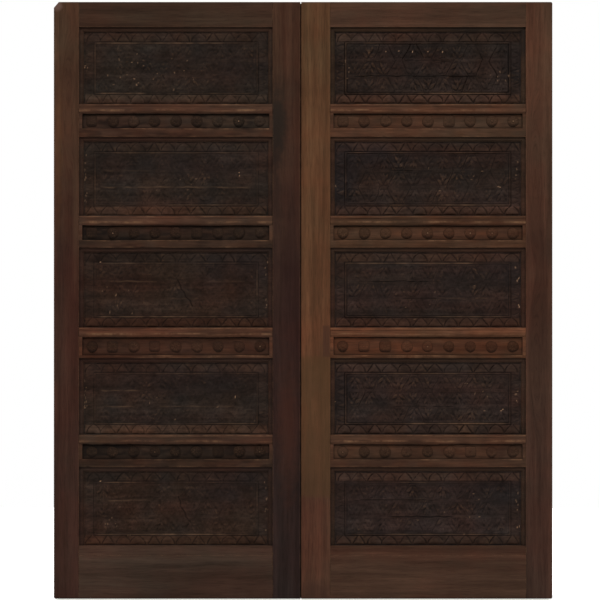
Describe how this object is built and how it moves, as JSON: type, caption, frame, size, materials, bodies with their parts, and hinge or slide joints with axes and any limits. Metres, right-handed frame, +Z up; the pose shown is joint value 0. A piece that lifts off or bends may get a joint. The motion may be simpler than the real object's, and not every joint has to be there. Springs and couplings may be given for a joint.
{
  "type": "wooden door",
  "caption": "Double door of dark timber: two carved, panelled leaves with rosette rails, hung on a plain frame with hinges and bolts at the back.",
  "frame": {"origin": "middle of the underside of the sill, on the floor", "axes": "+X to the right seen from the carved side, +Y from the carved side through the doorway, +Z up"},
  "size_m": [1.7826, 0.1399, 2.138],
  "materials": {
    "stile_timber": "dark brown stained hardwood, worn satin",
    "rail_timber": "dark brown stained hardwood, carved, worn satin",
    "carved_timber": "near-black brown carved hardwood, matt",
    "strip_timber": "dark brown stained hardwood strip",
    "frame_timber": "dark brown stained hardwood, plain",
    "hinge_iron": "blackened forged iron",
    "bolt_iron": "blackened forged iron"
  },
  "bodies": {
    "frame": {"left_jamb": "frame_timber", "right_jamb": "frame_timber", "head": "frame_timber", "sill": "frame_timber", "left_hinge_frame_plates": "hinge_iron", "right_hinge_frame_plates": "hinge_iron", "left_hinge_pins": "hinge_iron", "right_hinge_pins": "hinge_iron"},
    "left_leaf": {"left_hinge_stile": "stile_timber", "left_meeting_stile": "stile_timber", "left_top_rail": "rail_timber", "left_bottom_rail": "rail_timber", "left_frieze_rail_1": "rail_timber", "left_frieze_rail_2": "rail_timber", "left_frieze_rail_3": "rail_timber", "left_frieze_rail_4": "rail_timber", "left_panel_1": "carved_timber", "left_panel_2": "carved_timber", "left_panel_3": "carved_timber", "left_panel_4": "carved_timber", "left_panel_5": "carved_timber", "left_panel_strips_1": "strip_timber", "left_panel_strips_2": "strip_timber", "left_panel_strips_3": "strip_timber", "left_panel_strips_4": "strip_timber", "left_panel_strips_5": "strip_timber", "left_hinge_leaf_plates": "hinge_iron", "left_top_bolt_case": "bolt_iron", "left_bottom_bolt_case": "bolt_iron"},
    "right_leaf": {"right_hinge_stile": "stile_timber", "right_meeting_stile": "stile_timber", "right_top_rail": "rail_timber", "right_bottom_rail": "rail_timber", "right_frieze_rail_1": "rail_timber", "right_frieze_rail_2": "rail_timber", "right_frieze_rail_3": "rail_timber", "right_frieze_rail_4": "rail_timber", "right_panel_1": "carved_timber", "right_panel_2": "carved_timber", "right_panel_3": "carved_timber", "right_panel_4": "carved_timber", "right_panel_5": "carved_timber", "right_panel_strips_1": "strip_timber", "right_panel_strips_2": "strip_timber", "right_panel_strips_3": "strip_timber", "right_panel_strips_4": "strip_timber", "right_panel_strips_5": "strip_timber", "right_hinge_leaf_plates": "hinge_iron", "right_top_bolt_case": "bolt_iron", "right_bottom_bolt_case": "bolt_iron"},
    "left_top_bolt": {"left_top_bolt_bar": "bolt_iron", "left_top_bolt_knob": "bolt_iron"},
    "left_bottom_bolt": {"left_bottom_bolt_bar": "bolt_iron", "left_bottom_bolt_knob": "bolt_iron"},
    "right_top_bolt": {"right_top_bolt_bar": "bolt_iron", "right_top_bolt_knob": "bolt_iron"},
    "right_bottom_bolt": {"right_bottom_bolt_bar": "bolt_iron", "right_bottom_bolt_knob": "bolt_iron"}
  },
  "joints": [
    {"name": "left_leaf_hinge", "type": "hinge", "parent": "frame", "child": "left_leaf", "pos_m": [-0.88325, -0.0465, 1.0715], "axis": [0, 0, -1], "range_deg": [0, 90]},
    {"name": "right_leaf_hinge", "type": "hinge", "parent": "frame", "child": "right_leaf", "pos_m": [0.88325, -0.0465, 1.0715], "axis": [0, 0, 1], "range_deg": [0, 90]},
    {"name": "left_top_bolt_slide", "type": "slide", "parent": "left_leaf", "child": "left_top_bolt", "axis": [0, 0, 1], "range_m": [0, 0.025]},
    {"name": "left_bottom_bolt_slide", "type": "slide", "parent": "left_leaf", "child": "left_bottom_bolt", "axis": [0, 0, -1], "range_m": [0, 0.025]},
    {"name": "right_top_bolt_slide", "type": "slide", "parent": "right_leaf", "child": "right_top_bolt", "axis": [0, 0, 1], "range_m": [0, 0.025]},
    {"name": "right_bottom_bolt_slide", "type": "slide", "parent": "right_leaf", "child": "right_bottom_bolt", "axis": [0, 0, -1], "range_m": [0, 0.025]}
  ]
}
